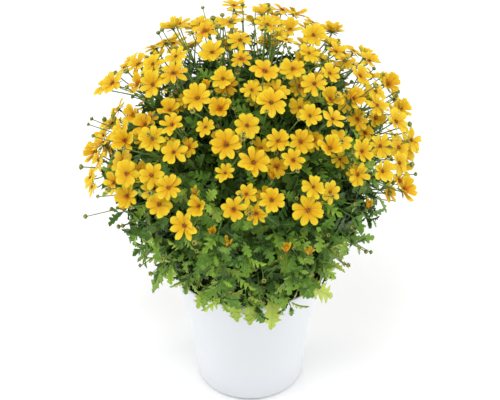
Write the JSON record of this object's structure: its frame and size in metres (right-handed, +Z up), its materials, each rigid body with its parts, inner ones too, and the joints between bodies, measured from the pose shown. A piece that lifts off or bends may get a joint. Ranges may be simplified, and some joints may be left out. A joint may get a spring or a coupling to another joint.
{
  "type": "potted bidens in flower",
  "caption": "Round bushy plant with cut leaves and a dome of yellow daisy-like blooms on thin stalks, growing in compost in a plain white plastic pot.",
  "frame": {"origin": "middle of the underside of the pot, which the plant stands on", "axes": "+Z up along the pot's axis, -Y towards the front of the picture, +X to the right"},
  "size_m": [0.3973, 0.3886, 0.4884],
  "materials": {
    "white_plastic": "smooth moulded",
    "compost": "crumbly",
    "foliage": "soft matt",
    "petals": "soft matt"
  },
  "bodies": {
    "root": {"pot": "white_plastic", "soil": "compost", "leafy_stem_01": "foliage", "leafy_stem_02": "foliage", "leafy_stem_03": "foliage", "leafy_stem_04": "foliage", "leafy_stem_05": "foliage", "leafy_stem_06": "foliage", "leafy_stem_07": "foliage", "leafy_stem_08": "foliage", "leafy_stem_09": "foliage", "leafy_stem_10": "foliage", "leafy_stem_11": "foliage", "leafy_stem_12": "foliage", "leafy_stem_13": "foliage", "leafy_stem_14": "foliage", "leafy_stem_15": "foliage", "flower_spray_01": "petals", "flower_spray_02": "petals", "flower_spray_03": "petals", "flower_spray_04": "petals", "flower_spray_05": "petals", "flower_spray_06": "petals", "flower_spray_07": "petals", "flower_spray_08": "petals", "flower_spray_09": "petals", "flower_spray_10": "petals", "flower_spray_11": "petals", "flower_spray_12": "petals", "flower_spray_13": "petals", "flower_spray_14": "petals", "flower_spray_15": "petals", "flower_spray_16": "petals", "flower_spray_17": "petals", "flower_spray_18": "petals", "flower_spray_19": "petals", "flower_spray_20": "petals", "flower_spray_21": "petals", "flower_spray_22": "petals", "flower_spray_23": "petals", "flower_spray_24": "petals", "flower_spray_25": "petals", "flower_spray_26": "petals", "flower_spray_27": "petals", "flower_spray_28": "petals", "flower_spray_29": "petals", "flower_spray_30": "petals", "flower_spray_31": "petals", "flower_spray_32": "petals", "flower_spray_33": "petals", "flower_spray_34": "petals", "flower_spray_35": "petals", "flower_spray_36": "petals", "flower_spray_37": "petals", "flower_spray_38": "petals", "flower_spray_39": "petals", "flower_spray_40": "petals", "flower_spray_41": "petals", "flower_spray_42": "petals", "flower_spray_43": "petals"}
  },
  "joints": []
}
